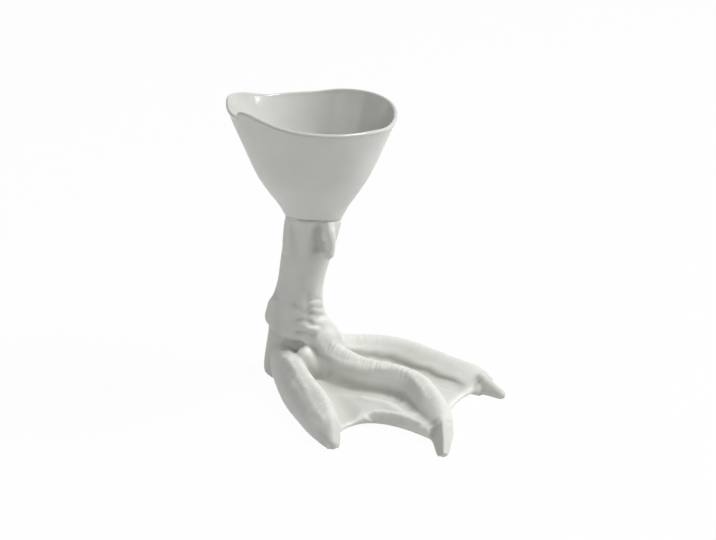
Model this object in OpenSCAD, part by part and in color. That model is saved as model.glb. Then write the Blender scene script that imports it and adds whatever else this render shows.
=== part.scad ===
// Egg cup in unglazed and glazed porcelain.
// A flaring cup with a wavy rim is luted with slip onto a webbed bird's foot and leg.
// The origin lies on the sole under the axis of the cup, and the toes point along -Y.

/* [Cup] */
// Radius of the cup where its rim is lowest
cup_rim_r = 28.5; // [26:0.1:34]
// Height of the cup from the joint to the lowest point of its rim
cup_h = 37; // [30:0.5:46]
// Height of the highest lobe of the rim above its lowest point
rim_wave = 7.6; // [0:0.1:10]
// Thickness of the cup's wall above its floor
cup_wall = 2; // [1.6:0.1:3]
// Thickness of the cup's wall at its lip
lip_t = 1.2; // [0.8:0.1:1.6]
// Height of the cup's floor above the middle of the joint
cup_floor = 5; // [4:0.1:8]
// Height of the rounded bottom inside the cup
bowl_h = 8; // [5:0.5:14]
// How far the cup leans at its rim, towards the outer toe
cup_lean = 0.5; // [0:0.1:2]

/* [Glaze] */
// Thickness of the fired glaze
glaze_t = 0.3; // [0.2:0.05:0.6]
// How far the glaze runs down the outside below the lip
glaze_lap = 0.5; // [0.3:0.1:3]

/* [Joint] */
// Height of the middle of the joint above the sole
joint_h = 66; // [56:0.5:80]
// Radius of the cup's foot where it meets the leg
neck_r = 10; // [9.2:0.1:12]
// Tilt of the joint, higher in front of the inner toe
joint_tilt = 14; // [0:0.5:16]
// Thickness of the slip that holds the cup on the leg
slip_t = 0.4; // [0.3:0.1:1.2]
// How far the slip is wiped back from the edge of the joint
slip_recess = 0.4; // [0.2:0.1:1.2]

/* [Leg] */
// Half width of the leg at its slimmest
leg_r = 8.2; // [7.4:0.1:9.2]
// How far the foot of the leg lies behind the axis of the cup
leg_lean = 15.5; // [10:0.5:19]
// Radius of the hollow that the casting slip leaves in the leg
hollow_r = 5; // [3.5:0.1:5.2]
// Radius of the vent hole in the sole
vent_r = 1.6; // [1:0.1:2.5]
// Depth of the groove beside the front knuckle
groove_d = 1.6; // [0:0.1:1.8]

/* [Toes] */
// How far the roots of the toes lie behind the axis of the cup
ankle_back = 8; // [5:0.5:11]
// Length of the inner toe from the ankle to the tip of its claw
inner_toe_len = 59; // [52:0.5:66]
// Length of the middle toe from the ankle to the tip of its claw
middle_toe_len = 80.5; // [72:0.5:90]
// Length of the outer toe from the ankle to the tip of its claw
outer_toe_len = 76.5; // [69:0.5:85]
// Turn of the inner toe away from straight ahead, to the left
inner_toe_turn = -31; // [-38:0.5:-24]
// Turn of the middle toe away from straight ahead, to the left
middle_toe_turn = -5.5; // [-10:0.5:2]
// Turn of the outer toe away from straight ahead, to the right
outer_toe_turn = 32; // [25:0.5:39]
// Height of the middle toe at half its length
toe_h = 14; // [11:0.2:16]
// Half width of the middle toe at half its length
toe_r = 5.6; // [4.6:0.1:7]
// Length of the middle claw
claw_len = 12; // [9:0.2:15]
// Half width of the middle claw at its root
claw_r = 4.4; // [3.2:0.1:5]

/* [Webs] */
// Thickness of the webs
web_t = 2.4; // [1.6:0.1:3.4]
// Height of the underside of the webs above the sole plane
web_lift = 0.8; // [0.4:0.1:2]
// Rise of the webs towards their roots
web_rise = 2.5; // [0:0.1:4]

/* [Hidden] */

biscuit = "gainsboro";
glaze = "white";
slip = "darkgray";

// Faces round each form and along it
cup_sides = 52;
leg_sides = 32;
toe_sides = 18;
lump_sides = 20;
wall_steps = 6;
bowl_steps = 4;
lip_steps = 3;
leg_steps = 24;
toe_steps = 20;
web_steps = 10;

// Room by which a cut runs past what it cuts
overrun = 1;

// Flare of the cup: share of its height, share of the way from the neck's radius to the rim's
flare_shares = [
    [0, 0], [0.11, 0.106], [0.27, 0.316], [0.43, 0.508],
    [0.6, 0.668], [0.8, 0.835], [1, 1], [1.2, 1.13], [1.5, 1.3]
];

// Rim: share of a turn from +X, share of the wave
rim_shares = [
    [-0.047, 0.28], [0, 0.32], [0.07, 0.25], [0.13, 0.08], [0.18, 0.07], [0.23, 0.14],
    [0.3, 0.58], [0.35, 0.78], [0.4, 0.62], [0.45, 0.6], [0.466, 0.7], [0.482, 0.98],
    [0.5, 1], [0.53, 0.88], [0.57, 0.62], [0.61, 0.46], [0.68, 0.29], [0.74, 0.19],
    [0.81, 0.01], [0.87, 0.06], [0.91, 0.2], [0.953, 0.28], [1, 0.32], [1.07, 0.25]
];
// Direction in which the cup leans, and direction in which the joint is highest
lean_turn = -44;
joint_turn = 214;

// Leg: share of the height, half width and bow towards the heel as shares of the leg's half width
leg_shares = [
    [0, 1.2, 0], [0.06, 1.26, 0], [0.15, 1.27, 0], [0.3, 1.25, 0.02], [0.38, 1.25, 0.1], [0.45, 1.2, 0.16],
    [0.53, 1.08, 0.17], [0.62, 1.02, 0.15], [0.72, 1.06, 0.12], [0.82, 1.12, 0.06],
    [0.92, 1.14, 0.01], [1, 1.15, 0]
];
leg_skew_share = 0.09;
leg_oval_share = 0.07;
groove_turn = 238;
groove_spread = 12;
groove_low_share = 0.74;

// Knuckles under the joint: turn round the leg, then place and radius as shares of the neck's
// radius, then the share of the leg's height where the knuckle ends, and how far below the joint
// it is full, as a share of the neck's radius, and the share of the leg's lean that it follows.
// Its tip is a share of its radius
knuckle_shares = [[-98, 0.9, 0.26, 0.835, 0.3, 0.1], [150, 0.58, 0.47, 0.83, 0.05, 0.5]];
knuckle_tip_share = 0.6;
// How far the knuckles stay below the top of the leg
knuckle_drop = 0.4;

// Lumps on the leg, each through rows of turn round the leg, place out from its middle as a share
// of its half width, share of its height, radius as a share of its half width
instep_shares = [[-86, 0.9, 0.35, 0.82], [-78, 1.75, 0.2, 0.76], [-52, 1.65, 0.19, 0.72]];
hind_toe_shares = [[153, 0.92, 0.46, 0.42], [150, 0.96, 0.38, 0.5]];
web_ball_shares = [[-116, 1.72, 0.208, 0.4], [-104, 2.1, 0.13, 0.34], [-108, 1.9, 0.06, 0.5]];
sole_shares = [[-92, 1.6, 0.02, 1.1], [-90, 0.15, 0.02, 1.1]];
// Hollow over the toes' roots, cut in the same way
ankle_dent_shares = [[200, 1.37, 0.28, 0.22], [222, 1.39, 0.275, 0.28], [240, 1.39, 0.265, 0.22]];

// Toes: share of the length, sideways share of the length, share of the toe's height,
// share of its half width, and how far its crest leans outwards as a share of that half width
inner_toe_shares = [
    [0, -0.115, 1.09, 0.78, -0.3], [0.12, -0.108, 1.12, 0.9, 0], [0.24, -0.1, 1.03, 1, 0.3],
    [0.42, -0.084, 0.94, 1.08, 0.42], [0.6, -0.054, 0.88, 1.09, 0.45], [0.76, -0.03, 0.79, 1, 0.4],
    [0.87, -0.01, 0.6, 0.78, 0.25], [0.94, 0, 0.4, 0.5, 0.1], [1, 0, 0.1, 0.2, 0]
];
middle_toe_shares = [
    [0, 0, 1.4, 1.15, 0.1], [0.1, 0.036, 1.44, 1.2, 0.1], [0.22, 0.075, 1.21, 1.1, 0.1],
    [0.32, 0.117, 1.04, 1.02, 0.15], [0.44, 0.189, 1, 1, 0.2], [0.55, 0.224, 0.94, 1, 0.2],
    [0.66, 0.199, 0.86, 1, 0.2], [0.78, 0.155, 0.74, 0.94, 0.2], [0.85, 0.118, 0.56, 0.76, 0.15],
    [0.9, 0.08, 0.34, 0.5, 0.1], [1, 0, 0.1, 0.2, 0]
];
outer_toe_shares = [
    [0, 0.05, 1, 0.9, 0.1], [0.14, 0.143, 0.97, 0.88, 0.2], [0.235, 0.196, 0.88, 0.9, 0.35],
    [0.33, 0.23, 0.83, 0.94, 0.42], [0.45, 0.234, 0.77, 0.98, 0.42], [0.58, 0.19, 0.685, 1.02, 0.44],
    [0.72, 0.132, 0.59, 1.08, 0.48], [0.82, 0.096, 0.51, 1.12, 0.52], [0.89, 0.064, 0.37, 0.88, 0.48],
    [1, 0, 0.1, 0.2, 0]
];
// Height of a toe's widest line and flare of its skirt, as shares of its height and half width,
// and how straight its flanks run up to its crest
toe_waist_share = 0.45;
toe_skirt_share = 0.35;
toe_round_share = 1.2;
// Tip of a claw and height of its keel, as shares of its half width
claw_tip_share = 0.48;
claw_keel_share = 1.5;
// Each toe: its form, length, turn, share of the length that is flesh, and size of its claw
inner_toe = [inner_toe_shares, inner_toe_len, inner_toe_turn, 0.96, 1.05];
middle_toe = [middle_toe_shares, middle_toe_len, middle_toe_turn, 0.9, 1];
outer_toe = [outer_toe_shares, outer_toe_len, outer_toe_turn, 0.9, 0.8];

// Webs: where each leaves its two toes, and the corner that its scalloped edge is drawn towards,
// sideways and forward as shares of the middle toe's length
web_root_share = 0.1;
inner_web_end_shares = [0.91, 0.93];
outer_web_end_shares = [0.81, 0.93];
inner_web_pull_shares = [-0.02, -0.31];
outer_web_pull_shares = [0.42, -0.5];
// Each web: share of the way between its toes, shares of the thickness and of the rise there
inner_web_shares = [
    [0, 1.2, 2.6], [0.15, 0.9, 1.4], [0.28, 0.8, 0.5], [0.4, 1.4, -0.1], [0.7, 1.75, -0.5], [1, 1.85, -0.7]
];
outer_web_shares = [[0, 1.3, 1], [0.35, 0.8, 0.8], [0.6, 0.85, 1], [0.8, 1.2, 1.9], [1, 1.9, 2.8]];
// How little the front of a web rounds over into its top
web_round_share = 0.5;

function lerp(a, b, t) = a + (b - a) * t;
function ease(t) = let (c = min(max(t, 0), 1)) c * c * (3 - 2 * c);
function unit(v) = v / norm(v);

// Row of a table at t, on a smooth curve through its rows
function row_before(table, t, i = 0) =
    i >= len(table) - 2 || t < table[i + 1][0] ? i : row_before(table, t, i + 1);
function row_slope(table, i) =
    let (a = table[max(i - 1, 0)], b = table[min(i + 1, len(table) - 1)]) (b - a) / (b[0] - a[0]);
function along(table, t) =
    let (i = row_before(table, t), a = table[i], b = table[i + 1], h = b[0] - a[0], s = (t - a[0]) / h)
    lerp(a, b, s * s * (3 - 2 * s))
    + row_slope(table, i) * h * s * (1 - s) * (1 - s)
    - row_slope(table, i + 1) * h * s * s * (1 - s);

// Closed skin over rings of equal count, which turn left as they rise.
// The faces between the first crossed rings are split on the other diagonal.
// Strips between the first and the last points of a ring close each end.
module loft(rings, crossed = 0) {
    n = len(rings[0]);
    m = len(rings);
    sides = [for (i = [0:m - 2], j = [0:n - 1])
        let (a = i * n + j, b = i * n + (j + 1) % n, c = b + n, d = a + n)
        each i < crossed ? [[a, d, b], [d, c, b]] : [[a, d, c], [a, c, b]]];
    first = [for (k = [0:ceil(n / 2) - 2]) let (near = [k, k + 1, n - 1 - k])
        each 2 * k + 3 < n ? [near, [k + 1, n - 2 - k, n - 1 - k]] : [near]];
    last = [for (f = first) [for (k = [2, 1, 0]) f[k] + (m - 1) * n]];
    polyhedron(points = [for (ring = rings) each ring], faces = concat(first, sides, last));
}

// Height of the joint's plane at a place across it, and its solids laid in that plane
function joint_z(p) = joint_h + tan(joint_tilt) * (cos(joint_turn) * p[0] + sin(joint_turn) * p[1]);
module in_joint() {
    rotate([0, 0, joint_turn]) rotate([0, -joint_tilt, 0]) children();
}

// Cup
rim_level = joint_h + cup_h;
lip_r = lip_t / 2;
floor_z = joint_h + cup_floor;
function foot_z(turn) = joint_z(neck_r * [cos(360 * turn), sin(360 * turn)]);
function lip_z(turn) = rim_level - lip_r + rim_wave * along(rim_shares, turn)[1];
// Radius of the outside, which starts from the tilted joint and is round above half the height
function cup_r(turn, z) =
    let (off = foot_z(turn) - joint_h, up = (z - foot_z(turn)) / cup_h)
    lerp(neck_r, cup_rim_r, along(flare_shares, (z - joint_h - off * (1 - ease(2 * up))) / cup_h)[1]);

// Section of the cup's wall at a share of a turn, from its foot over the lip to the floor
function outer_wall(turn) =
    [for (k = [0:wall_steps]) let (z = lerp(foot_z(turn), lip_z(turn) - glaze_lap, k / wall_steps))
        [cup_r(turn, z), z]];
function lip(turn) =
    [for (k = [0:lip_steps]) let (z = lip_z(turn), a = 180 * k / lip_steps)
        [cup_r(turn, z) - lip_r * (1 - cos(a)), z + lip_r * sin(a)]];
function inner_wall(turn) =
    [for (k = [1:wall_steps - 1]) let (t = k / wall_steps, z = lerp(lip_z(turn), floor_z + bowl_h, t))
        [cup_r(turn, z) - lerp(lip_t, cup_wall, t), z]];
function bowl(turn) =
    [for (k = [0:bowl_steps]) let (a = 90 * (1 - k / (bowl_steps + 1)), z = floor_z + bowl_h * (1 - cos(a)))
        [(cup_r(turn, z) - cup_wall) * sin(a), z]];
function cup_section(turn) = concat(outer_wall(turn), lip(turn), inner_wall(turn), bowl(turn));

// Ring through the same point of every section, carried over by the cup's lean
function section_ring(sections, k) =
    [for (j = [0:cup_sides - 1])
        let (a = 360 * j / cup_sides, p = sections[j][k],
            lean = cup_lean * ease((p[1] - foot_z(j / cup_sides)) / cup_h))
        [p[0] * cos(a) + lean * cos(lean_turn), p[0] * sin(a) + lean * sin(lean_turn), p[1]]];

module cup() {
    sections = [for (j = [0:cup_sides - 1]) cup_section(j / cup_sides)];
    color(biscuit) loft([for (k = [0:len(sections[0]) - 1]) section_ring(sections, k)]);
}

// Glaze over the section from its first point, square to the wall
function coat(section, first) =
    [for (k = [first:len(section) - 1])
        let (way = unit(section[min(k + 1, len(section) - 1)] - section[max(k - 1, first)]))
        section[k] + glaze_t * [way[1], -way[0]]];

module glaze_lining() {
    sections = [for (j = [0:cup_sides - 1]) cup_section(j / cup_sides)];
    coats = [for (section = sections) coat(section, wall_steps)];
    last = len(sections[0]) - 1;
    backs = [for (k = [last:-1:wall_steps]) section_ring(sections, k)];
    fronts = [for (k = [0:last - wall_steps]) section_ring(coats, k)];
    color(glaze) loft(concat(backs, fronts), len(backs) - 1);
}

// Slip between the cup and the leg, open over the hollow
module slip_joint() {
    color(slip) translate([0, 0, joint_h]) in_joint() translate([0, 0, -slip_t])
        difference() {
            cylinder(r = neck_r - slip_recess, h = slip_t, $fn = cup_sides);
            translate([0, 0, -overrun]) cylinder(r = hollow_r, h = slip_t + 2 * overrun, $fn = cup_sides);
        }
}

// Leg
function leg_top(p) = joint_z(p) - slip_t / cos(joint_tilt);
function leg_middle(t) =
    let (bow = leg_r * along(leg_shares, t)[2] * cos(45))
    [leg_lean * leg_skew_share * (1 - t) - bow, leg_lean * (1 - t) + bow];
function leg_half(t) = lerp(leg_r * along(leg_shares, t)[1], neck_r, ease(5 * t - 4));
function groove(a, t) =
    groove_d * ease((t - groove_low_share) * 10) * exp(-pow((a - groove_turn) / groove_spread, 2));
function leg_ring(t) =
    [for (j = [0:leg_sides - 1])
        let (a = 360 * j / leg_sides, c = leg_middle(t), h = leg_half(t) - groove(a, t),
            oval = leg_oval_share * ease(5 * (1 - t)),
            p = c + h * [(1 - oval) * cos(a), (1 + oval) * sin(a)])
        [p[0], p[1], t * leg_top(p)]];
function hollow_ring(t) =
    [for (j = [0:leg_sides - 1])
        let (a = 360 * j / leg_sides, c = leg_middle(t))
        [c[0] + hollow_r * cos(a), c[1] + hollow_r * sin(a), t * joint_h]];

module leg() {
    loft([for (k = [0:leg_steps]) leg_ring(k / leg_steps)]);
}

// Hollow of the casting, from above the sole out of the top of the leg
module hollow() {
    loft([for (k = [2:leg_steps + 2]) hollow_ring(k / leg_steps)]);
    vent = leg_middle(0);
    translate([vent[0], vent[1], -overrun])
        cylinder(r = vent_r, h = joint_h * 2.5 / leg_steps + overrun, $fn = lump_sides);
}

// Rounded end of a leg bone, standing out under the joint
module knuckle(row) {
    p = leg_middle(1) + row[1] * neck_r * [cos(row[0]), sin(row[0])];
    low = p + row[5] * leg_middle(row[3]);
    r = row[2] * neck_r;
    hull() {
        translate([low[0], low[1], row[3] * joint_h]) sphere(r = r, $fn = lump_sides);
        translate([p[0], p[1], leg_top(p) - knuckle_drop]) in_joint() {
            translate([0, 0, -knuckle_drop])
                cylinder(r = knuckle_tip_share * r, h = knuckle_drop, $fn = lump_sides);
            translate([0, 0, -knuckle_drop - row[4] * neck_r])
                cylinder(r = r, h = knuckle_drop, $fn = lump_sides);
        }
    }
}

// Rounded lump on the leg or the ankle
module lump(rows) {
    hull() for (row = rows) {
        p = leg_middle(row[2]) + row[1] * leg_r * [cos(row[0]), sin(row[0])];
        translate([p[0], p[1], row[2] * joint_h]) sphere(r = row[3] * leg_r, $fn = lump_sides);
    }
}

// Place on the ground under a toe's crest
function toe_place(toe, t) =
    let (row = along(toe[0], t), turn = toe[2])
    [0, ankle_back] + toe[1] * (row[0] * [sin(turn), -cos(turn)] + row[1] * [cos(turn), sin(turn)]);
function toe_ring(toe, t) =
    let (row = along(toe[0], t), p = toe_place(toe, t),
        way = unit(toe_place(toe, t + 0.01) - toe_place(toe, t - 0.01)), side = [-way[1], way[0]],
        top = toe_h * row[2], half = toe_r * row[3], waist = toe_waist_share * top)
    [for (j = [0:toe_sides - 1])
        let (a = 360 * j / toe_sides, up = pow(max(sin(a), 0), toe_round_share), down = max(-sin(a), 0),
            out = sign(cos(a)) * pow(abs(cos(a)), toe_round_share),
            s = p + side * half * (out * (1 + toe_skirt_share * down) + row[4] * up))
        [s[0], s[1], waist + (top - waist) * up - (waist + overrun) * down]];

module toe(toe) {
    loft([for (k = [0:toe_steps]) toe_ring(toe, toe[3] * k / toe_steps)]);
}

// Claw with a keel, from its root in the toe to its tip on the ground
module claw(toe) {
    reach = claw_len * toe[4];
    r = claw_r * toe[4];
    end = r * claw_tip_share;
    back = toe_place(toe, 1 - reach / toe[1]);
    tip = toe_place(toe, 1);
    way = unit(tip - back);
    edge = (r - end) * [-way[1], way[0]];
    places = [for (p = [back - edge, back + edge, tip - end * way]) [p[0], p[1], end]];
    hull() for (p = concat(places, [[back[0], back[1], claw_keel_share * r]])) {
        translate(p) sphere(r = end, $fn = lump_sides);
    }
}

// Place in a web, at shares of the way between its toes and from its root to its scalloped edge
function web_place(left, right, ends, pull, u, v) =
    let (a = toe_place(left, ends[0]), b = middle_toe_len * pull, c = toe_place(right, ends[1]))
    lerp(toe_place(left, lerp(web_root_share, ends[0], v)),
        toe_place(right, lerp(web_root_share, ends[1], v)), u)
    + v * (lerp(lerp(a, b, u), lerp(b, c, u), u) - lerp(a, c, u));

// Section of a web from its root to its front edge and back
function web_ring(left, right, ends, pull, shares, u) =
    let (row = along(shares, u), thick = web_t * row[1], rise = web_rise * row[2],
        roll = thick / 2, steps = [0:web_steps],
        line = [for (k = steps) web_place(left, right, ends, pull, u, k / web_steps)],
        way = unit(line[web_steps] - line[web_steps - 1]),
        places = [for (k = steps) line[k] - roll * way * k / web_steps],
        tops = [for (k = steps)
            [each places[k], web_lift + thick + rise * pow(1 - k / web_steps, 1.5)]],
        fronts = [for (a = [60, 0, -60])
            [each places[web_steps] + roll * pow(cos(a), web_round_share) * way,
                web_lift + roll * (1 + sin(a))]],
        backs = [for (k = [web_steps:-1:0]) [each places[k], web_lift]])
    concat(tops, fronts, backs);

module web(left, right, ends, pull, shares) {
    loft([for (k = [0:web_steps]) web_ring(left, right, ends, pull, shares, k / web_steps)]);
}

module webbed_foot() {
    ground = 2 * (middle_toe_len + outer_toe_len);
    color(biscuit) difference() {
        union() {
            leg();
            for (row = knuckle_shares) knuckle(row);
            for (rows = [instep_shares, hind_toe_shares, web_ball_shares, sole_shares]) lump(rows);
            for (t = [inner_toe, middle_toe, outer_toe]) toe(t);
            for (t = [inner_toe, middle_toe, outer_toe]) claw(t);
            web(inner_toe, middle_toe, inner_web_end_shares, inner_web_pull_shares, inner_web_shares);
            web(middle_toe, outer_toe, outer_web_end_shares, outer_web_pull_shares, outer_web_shares);
        }
        hollow();
        lump(ankle_dent_shares);
        translate([-ground / 2, -ground / 2, -ground]) cube(ground);
    }
}

cup();
glaze_lining();
slip_joint();
webbed_foot();
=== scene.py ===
# Looks of a porcelain egg cup on a webbed bird's foot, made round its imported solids.
# Lengths are in millimetres until a mesh is finished.
import math

import bpy
import numpy as np
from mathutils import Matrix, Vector


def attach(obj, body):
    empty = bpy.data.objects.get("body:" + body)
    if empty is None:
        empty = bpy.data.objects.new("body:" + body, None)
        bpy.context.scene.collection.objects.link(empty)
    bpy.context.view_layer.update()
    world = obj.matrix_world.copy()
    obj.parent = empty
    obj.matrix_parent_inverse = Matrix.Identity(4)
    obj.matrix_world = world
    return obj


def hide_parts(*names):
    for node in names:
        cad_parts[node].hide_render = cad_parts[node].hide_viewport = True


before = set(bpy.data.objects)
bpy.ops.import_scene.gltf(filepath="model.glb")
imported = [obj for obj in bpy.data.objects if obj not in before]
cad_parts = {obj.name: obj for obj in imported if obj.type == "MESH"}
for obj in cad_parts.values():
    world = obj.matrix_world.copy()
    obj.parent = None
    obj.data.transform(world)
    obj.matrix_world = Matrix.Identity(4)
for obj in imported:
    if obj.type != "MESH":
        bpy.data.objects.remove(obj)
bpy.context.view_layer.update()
MM = 0.001
WELD = 0.001


# Camera, at the photograph's angle

def facing(place, target):
    """The turn that points a camera or a lamp from its place at a target."""
    return (Vector(target) - Vector(place)).to_track_quat("-Z", "Y").to_euler()


def set_camera(place, target, lens):
    data = bpy.data.cameras.new("camera")
    data.sensor_width = 36.0
    data.lens = lens
    data.clip_start = 0.01
    data.clip_end = 20.0
    camera = bpy.data.objects.new("camera", data)
    camera.location = Vector(place) * MM
    camera.rotation_euler = facing(place, target)
    bpy.context.scene.collection.objects.link(camera)
    bpy.context.scene.camera = camera


set_camera((-396.22, -432.85, 288.69), (1.69, -20.81, 51.42), 89.15)


# Node trees

class Tree:
    """Adds nodes in the order in which they compute. An input is a value or another node's output."""

    def __init__(self, tree):
        self.tree = tree

    def add(self, kind, inputs=None, **settings):
        node = self.tree.nodes.new(kind)
        for name, value in settings.items():
            setattr(node, name, value)
        for key, value in (inputs or {}).items():
            if isinstance(value, bpy.types.NodeSocket):
                self.tree.links.new(value, node.inputs[key])
            else:
                node.inputs[key].default_value = value
        return node

    def math(self, operation, a, b=0.0, c=0.0):
        return self.add("ShaderNodeMath", {0: a, 1: b, 2: c}, operation=operation).outputs[0]

    def plus(self, a, b):
        return self.math("ADD", a, b)

    def minus(self, a, b):
        return self.math("SUBTRACT", a, b)

    def times(self, a, b):
        return self.math("MULTIPLY", a, b)

    def over(self, a, b):
        return self.math("DIVIDE", a, b)

    def times_plus(self, a, b, c):
        return self.math("MULTIPLY_ADD", a, b, c)

    def cos(self, angle):
        return self.math("COSINE", angle)

    def sin(self, angle):
        return self.math("SINE", angle)

    def tan(self, angle):
        return self.math("TANGENT", angle)

    def smooth(self, value, low, high, to_low=0.0, to_high=1.0):
        return self.add("ShaderNodeMapRange", {"Value": value, "From Min": low, "From Max": high,
                                               "To Min": to_low, "To Max": to_high},
                        interpolation_type="SMOOTHSTEP").outputs[0]

    def vector(self, x, y, z):
        return self.add("ShaderNodeCombineXYZ", {0: x, 1: y, 2: z}).outputs[0]

    def attribute(self, name, kind="FLOAT"):
        return self.add("GeometryNodeInputNamedAttribute", {"Name": name}, data_type=kind).outputs[0]

    def painted(self, name, output="Fac"):
        """A piece's own attribute, read by its material."""
        return self.add("ShaderNodeAttribute", attribute_name=name).outputs[output]

    def play(self, way, seed, scale, detail):
        """The unevenness of work by hand, from a seeded noise."""
        return self.add("ShaderNodeTexNoise", {"Vector": way, "W": seed, "Scale": scale, "Detail": detail},
                        noise_dimensions="4D").outputs["Fac"]

    def sized(self, geometry):
        """Turns millimetres into the frame's metres."""
        return self.add("GeometryNodeTransform", {"Geometry": geometry, "Scale": (MM, MM, MM)}).outputs[0]

    def curve(self, value, points):
        node = self.add("ShaderNodeFloatCurve", {"Value": value})
        line = node.mapping.curves[0]
        while len(line.points) > 2:
            line.points.remove(line.points[1])
        line.points[0].location = points[0]
        line.points[1].location = points[-1]
        for place in points[1:-1]:
            line.points.new(*place)
        node.mapping.update()
        return node.outputs[0]


def geometry_tree(name, inputs):
    """A Geometry Nodes group with named inputs after its geometry, and its filler."""
    group = bpy.data.node_groups.new(name, "GeometryNodeTree")
    group.interface.new_socket("Geometry", in_out="OUTPUT", socket_type="NodeSocketGeometry")
    group.interface.new_socket("Geometry", in_out="INPUT", socket_type="NodeSocketGeometry")
    for label, kind, value in inputs:
        socket = group.interface.new_socket(label, in_out="INPUT", socket_type="NodeSocket" + kind)
        if value is not None:
            socket.default_value = value
    return group, Tree(group), group.nodes.new("NodeGroupInput").outputs


def close_tree(t, geometry):
    """Ends a tree with real geometry that has its material."""
    realized = t.add("GeometryNodeRealizeInstances", {"Geometry": geometry}).outputs[0]
    entry = next(n for n in t.tree.nodes if n.type == "GROUP_INPUT").outputs
    finished = t.add("GeometryNodeSetMaterial", {"Geometry": realized, "Material": entry["Material"]})
    end = t.tree.nodes.new("NodeGroupOutput")
    t.tree.links.new(finished.outputs[0], end.inputs[0])


def run_tree(piece, group, values):
    modifier = piece.modifiers.new(group.name, "NODES")
    modifier.node_group = group
    for item in group.interface.items_tree:
        if item.item_type == "SOCKET" and item.in_out == "INPUT" and item.name in values:
            modifier[item.identifier] = values[item.name]
    bake(piece)


def bake(piece):
    """Turns the evaluated piece into its plain mesh."""
    graph = bpy.context.evaluated_depsgraph_get()
    mesh = bpy.data.meshes.new_from_object(piece.evaluated_get(graph), depsgraph=graph)
    mesh.name = piece.name
    piece.modifiers.clear()
    piece.data = mesh


def new_piece(name, vertices, faces, values=None):
    mesh = bpy.data.meshes.new(name)
    mesh.from_pydata([tuple(v) for v in vertices], [], [tuple(f) for f in faces])
    for label, numbers in (values or {}).items():
        layer = mesh.attributes.new(label, "FLOAT", "POINT")
        layer.data.foreach_set("value", np.asarray(numbers, np.float32))
    piece = bpy.data.objects.new(name, mesh)
    bpy.context.scene.collection.objects.link(piece)
    return piece


def hand_over(piece, node):
    """The finished piece stands for its solid."""
    piece.data.polygons.foreach_set("use_smooth", [True] * len(piece.data.polygons))
    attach(piece, "root")
    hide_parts(node)


# Materials. A pair of colours is a finish's darker and lighter clouds.

BISCUIT = (0.71, 0.717, 0.676), (0.75, 0.757, 0.714)
# Painted light and shade on the modelled foot: crests that face up are painted lighter, claws darker, and
# creases, flanks and cut faces darker still.
PAINTED_LIGHT_CLAY = (0.87, 0.875, 0.832)
CLAW_SHADE_CLAY = (0.5, 0.504, 0.465)
PAINTED_SHADE_CLAY = (0.4, 0.403, 0.365)
GLAZE = (0.62, 0.625, 0.59), (0.66, 0.665, 0.628)
WIPED_SLIP = (0.6, 0.604, 0.56), (0.7, 0.704, 0.656)
LUTED_SLIP = (0.72, 0.728, 0.677)
PAPER = (0.8, 0.8, 0.8), (0.83, 0.83, 0.83)
SCATTER = (1.0, 0.95, 0.9)


def new_material(name):
    material = bpy.data.materials.new(name)
    material.use_nodes = True
    return material, Tree(material.node_tree), material.node_tree.nodes["Principled BSDF"]


def set_shader(shader, **values):
    for name, value in values.items():
        shader.inputs[name.replace("_", " ")].default_value = value


def noise(t, place, scale, detail=2.0, roughness=0.5):
    return t.add("ShaderNodeTexNoise", {"Vector": place, "Scale": scale, "Detail": detail,
                                        "Roughness": roughness}).outputs["Fac"]


def blend_colours(t, factor, a, b):
    """Each of the two is a colour or another node's output."""
    a, b = ((*colour, 1) if isinstance(colour, tuple) else colour for colour in (a, b))
    return t.add("ShaderNodeMix", {0: factor, 6: a, 7: b}, data_type="RGBA").outputs[2]


def finish_surface(t, shader, colour, height, rough=None):
    """Height is in millimetres."""
    bump = t.add("ShaderNodeBump", {"Height": height, "Distance": MM, "Strength": 1.0}).outputs[0]
    t.tree.links.new(colour, shader.inputs["Base Color"])
    t.tree.links.new(bump, shader.inputs["Normal"])
    if rough is not None:
        t.tree.links.new(rough, shader.inputs["Roughness"])


def biscuit_clay(name, roughness, modelled):
    """Fired, unglazed porcelain. Modelled clay also has the skin of the foot, with painted light on its crests
    and painted shade on its claws, creases, flanks and cut faces.
    """
    material, t, shader = new_material(name)
    place = t.add("ShaderNodeTexCoord").outputs["Object"]
    cloud = t.smooth(noise(t, place, 55.0, 3.0), 0.35, 0.65)
    colour = blend_colours(t, cloud, *BISCUIT)
    fine = noise(t, place, 2600.0, 3.0, 0.6)
    swell = noise(t, place, 260.0, 2.0)
    height = t.times_plus(fine, 0.012, t.times(swell, 0.05))
    if modelled:
        # Painted light on crests that face up, painted shade on the claws, and painted shade in creases, on
        # flanks and on cut faces.
        colour = blend_colours(t, t.painted("painted_light"), colour, PAINTED_LIGHT_CLAY)
        colour = blend_colours(t, t.times(t.painted("painted_claw_shade"), 0.3), colour, CLAW_SHADE_CLAY)
        colour = blend_colours(t, t.times(t.painted("hollow"), 0.6), colour, PAINTED_SHADE_CLAY)
        stretched = t.add("ShaderNodeMapping", {"Vector": t.painted("skin", "Vector"),
                                                "Scale": (0.8, 0.45, 1.0)}).outputs[0]
        cells = t.add("ShaderNodeTexVoronoi", {"Vector": stretched, "Scale": 1.0},
                      feature="DISTANCE_TO_EDGE").outputs["Distance"]
        plates = t.times(t.smooth(cells, 0.0, 0.22), 0.16)
        height = t.times_plus(plates, t.painted("scaled"), height)
    rough = t.smooth(noise(t, place, 420.0, 2.0), 0.3, 0.7, roughness - 0.05, roughness + 0.06)
    finish_surface(t, shader, colour, height, rough)
    set_shader(shader, IOR=1.5, Subsurface_Weight=0.12, Subsurface_Scale=0.0012,
               Subsurface_Radius=SCATTER, Specular_IOR_Level=0.4)
    return material


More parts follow.
